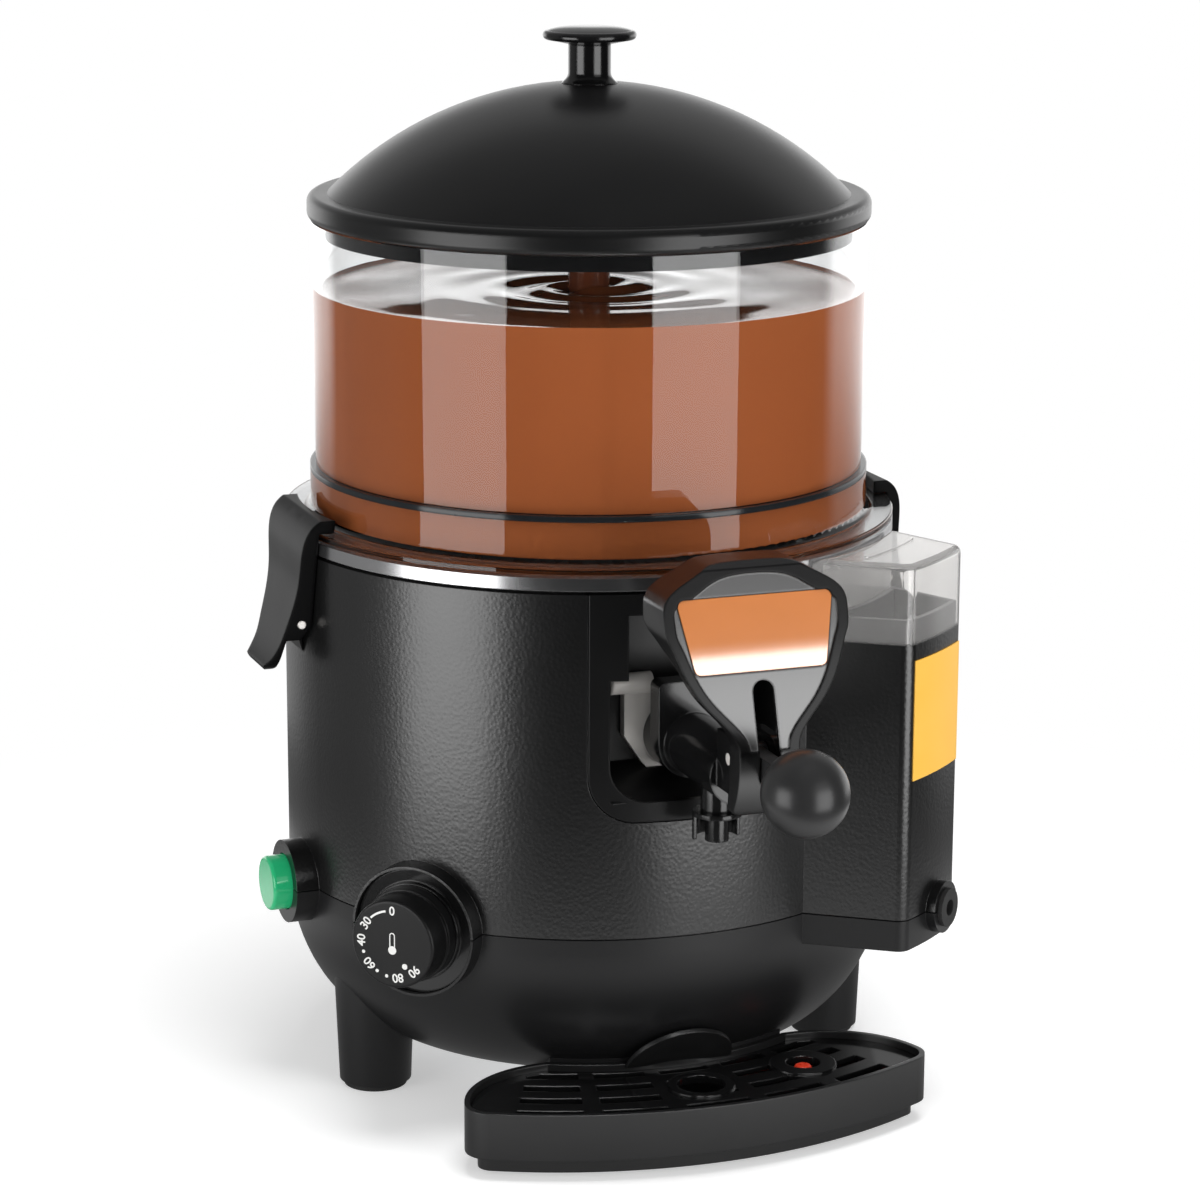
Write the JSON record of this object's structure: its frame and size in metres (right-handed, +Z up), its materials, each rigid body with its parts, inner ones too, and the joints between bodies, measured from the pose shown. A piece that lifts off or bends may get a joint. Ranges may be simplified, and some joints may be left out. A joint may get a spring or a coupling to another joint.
{
  "type": "hot chocolate dispenser",
  "caption": "Counter-top hot chocolate dispenser: black heated base, clear bowl under a domed lid, stirrer, lever tap with a cover, control dial, side water column and slotted drip tray.",
  "frame": {"origin": "on the body's vertical axis at counter level, under the foot pads", "axes": "+Z up; the tap, tray and badge face -Y; +X is on the right as seen from the front"},
  "size_m": [0.31, 0.4038, 0.4654],
  "materials": {
    "shell_black": "fine leather-like grain, satin",
    "satin_black": "smooth satin",
    "gloss_black": "smooth, half gloss",
    "clear_plastic": "clear, polished",
    "polished_steel": "polished, with fine turning marks",
    "spring_steel": "drawn wire",
    "rubber_black": "matt",
    "bronze_badge": "satin metallic film",
    "amber_panel": "smooth film",
    "green_button": "translucent, lit from inside",
    "red_float": "smooth",
    "stirrer_plastic": "wet, coated with the drink",
    "drive_grey": "plain grey coat",
    "switch_plastic": "plain"
  },
  "bodies": {
    "base": {"lower_shell": "shell_black", "foot_pads": "rubber_black", "upper_shell": "shell_black", "tap_panel": "shell_black", "base_plate": "drive_grey", "base_screws": "spring_steel", "side_label": "amber_panel", "cord_gland": "rubber_black", "thermostat_body": "switch_plastic", "thermostat_bezel": "gloss_black", "switch_body": "switch_plastic", "product_pot": "polished_steel", "pot_seal": "rubber_black", "water_jacket": "polished_steel", "heating_element": "polished_steel", "gearbox": "drive_grey", "motor": "drive_grey", "shaft_tube": "polished_steel", "bowl_gasket": "rubber_black", "bowl_collar": "clear_plastic", "seam_ring": "rubber_black", "bowl": "clear_plastic", "tap_body": "gloss_black", "tap_seal": "rubber_black", "nozzle": "gloss_black", "piston_spring": "spring_steel", "lever_pin": "polished_steel", "tap_cover": "satin_black", "badge_panel": "bronze_badge", "latch_lugs": "shell_black", "latch_pins": "polished_steel", "tray_bracket": "shell_black"},
    "lid": {"lid_dome": "satin_black", "lid_knob": "gloss_black", "knob_screw": "spring_steel"},
    "stirrer": {"stirrer": "stirrer_plastic", "drive_shaft": "polished_steel"},
    "lever": {"tap_lever": "gloss_black"},
    "piston": {"tap_piston": "gloss_black", "piston_ring": "rubber_black"},
    "lock": {"tap_lock": "polished_steel"},
    "thermostat": {"thermostat_knob": "gloss_black"},
    "switch": {"switch_button": "green_button"},
    "latch_left": {"left_latch": "satin_black"},
    "latch_right": {"right_latch": "satin_black"},
    "tray": {"drip_tray": "satin_black", "drip_grid": "gloss_black"},
    "float": {"tray_float": "red_float"},
    "filler_cover": {"filler_cover": "clear_plastic"}
  },
  "joints": [
    {"name": "lid_lift", "type": "slide", "parent": "base", "child": "lid", "axis": [0, 0, 1], "range_m": [0, 0.15]},
    {"name": "stirrer_spin", "type": "hinge", "parent": "base", "child": "stirrer", "pos_m": [0, 0, 0.2], "axis": [0, 0, 1], "continuous": true},
    {"name": "lever_lift", "type": "hinge", "parent": "base", "child": "lever", "pos_m": [0, -0.194, 0.187], "axis": [-1, 0, 0], "range_deg": [0, 45]},
    {"name": "piston_slide", "type": "slide", "parent": "base", "child": "piston", "axis": [0, -1, 0], "range_m": [0, 0.0086], "stiffness_N_per_m": 200, "springref_m": -0.006, "deforming": ["piston_spring"]},
    {"name": "lock_turn", "type": "hinge", "parent": "base", "child": "lock", "pos_m": [0, -0.109, 0.176], "axis": [0, 1, 0], "range_deg": [0, 80]},
    {"name": "thermostat_turn", "type": "hinge", "parent": "base", "child": "thermostat", "pos_m": [-0.11653, -0.0956, 0.0925], "axis": [-0.7071, -0.7071, 0], "range_deg": [0, 270]},
    {"name": "switch_press", "type": "slide", "parent": "base", "child": "switch", "axis": [0.9994, 0.0349, 0], "range_m": [0, 0.003], "stiffness_N_per_m": 300, "springref_m": -0.002},
    {"name": "left_latch_swing", "type": "hinge", "parent": "base", "child": "latch_left", "pos_m": [-0.1396, 0, 0.213], "axis": [0, -1, 0], "range_deg": [0, 22]},
    {"name": "right_latch_swing", "type": "hinge", "parent": "base", "child": "latch_right", "pos_m": [0.1396, 0, 0.213], "axis": [0, 1, 0], "range_deg": [0, 22]},
    {"name": "tray_slide", "type": "slide", "parent": "base", "child": "tray", "axis": [0, -1, 0], "range_m": [0, 0.12]},
    {"name": "float_rise", "type": "slide", "parent": "tray", "child": "float", "axis": [0, 0, 1], "range_m": [0, 0.005]},
    {"name": "filler_cover_lift", "type": "slide", "parent": "base", "child": "filler_cover", "axis": [0, 0, 1], "range_m": [0, 0.06]}
  ],
  "couplings": [
    {"joint": "piston_slide", "follows": "lever_lift", "m_per_rad": 0.01072}
  ]
}
